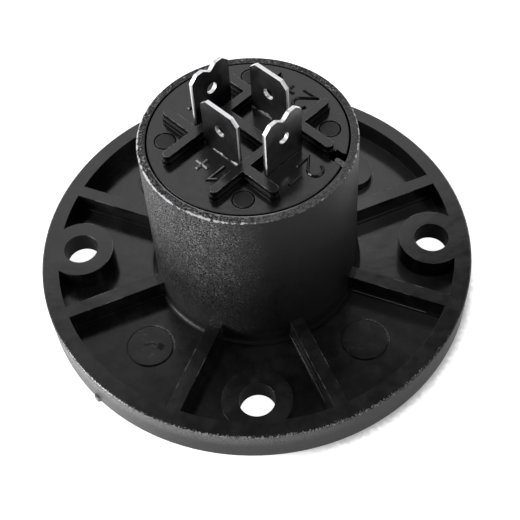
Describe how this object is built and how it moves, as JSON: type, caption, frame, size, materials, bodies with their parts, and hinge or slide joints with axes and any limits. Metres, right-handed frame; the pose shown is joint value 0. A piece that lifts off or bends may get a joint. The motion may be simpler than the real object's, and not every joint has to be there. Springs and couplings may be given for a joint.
{
  "type": "panel speaker connector",
  "caption": "Round-flanged panel socket for loudspeaker plugs: black ribbed flange with fixing holes, tall barrel with a bayonet socket, and plated push-on tabs at the wiring end.",
  "frame": {"origin": "centre of the flat front face", "axes": "+Z along the barrel from the front face to the tabs, X and Y through the fixing holes, the wide keyway on +X"},
  "size_m": [0.052, 0.052, 0.0307],
  "materials": {
    "housing_plastic": "black moulded plastic, fine matt spark texture on the barrel",
    "carrier_plastic": "black moulded plastic, smooth satin",
    "contact_metal": "stamped brass with bright tin plating"
  },
  "bodies": {
    "root": {"housing": "housing_plastic", "contact_carrier": "carrier_plastic", "contact_1_plus": "contact_metal", "contact_1_minus": "contact_metal", "contact_2_plus": "contact_metal", "contact_2_minus": "contact_metal"}
  },
  "joints": []
}
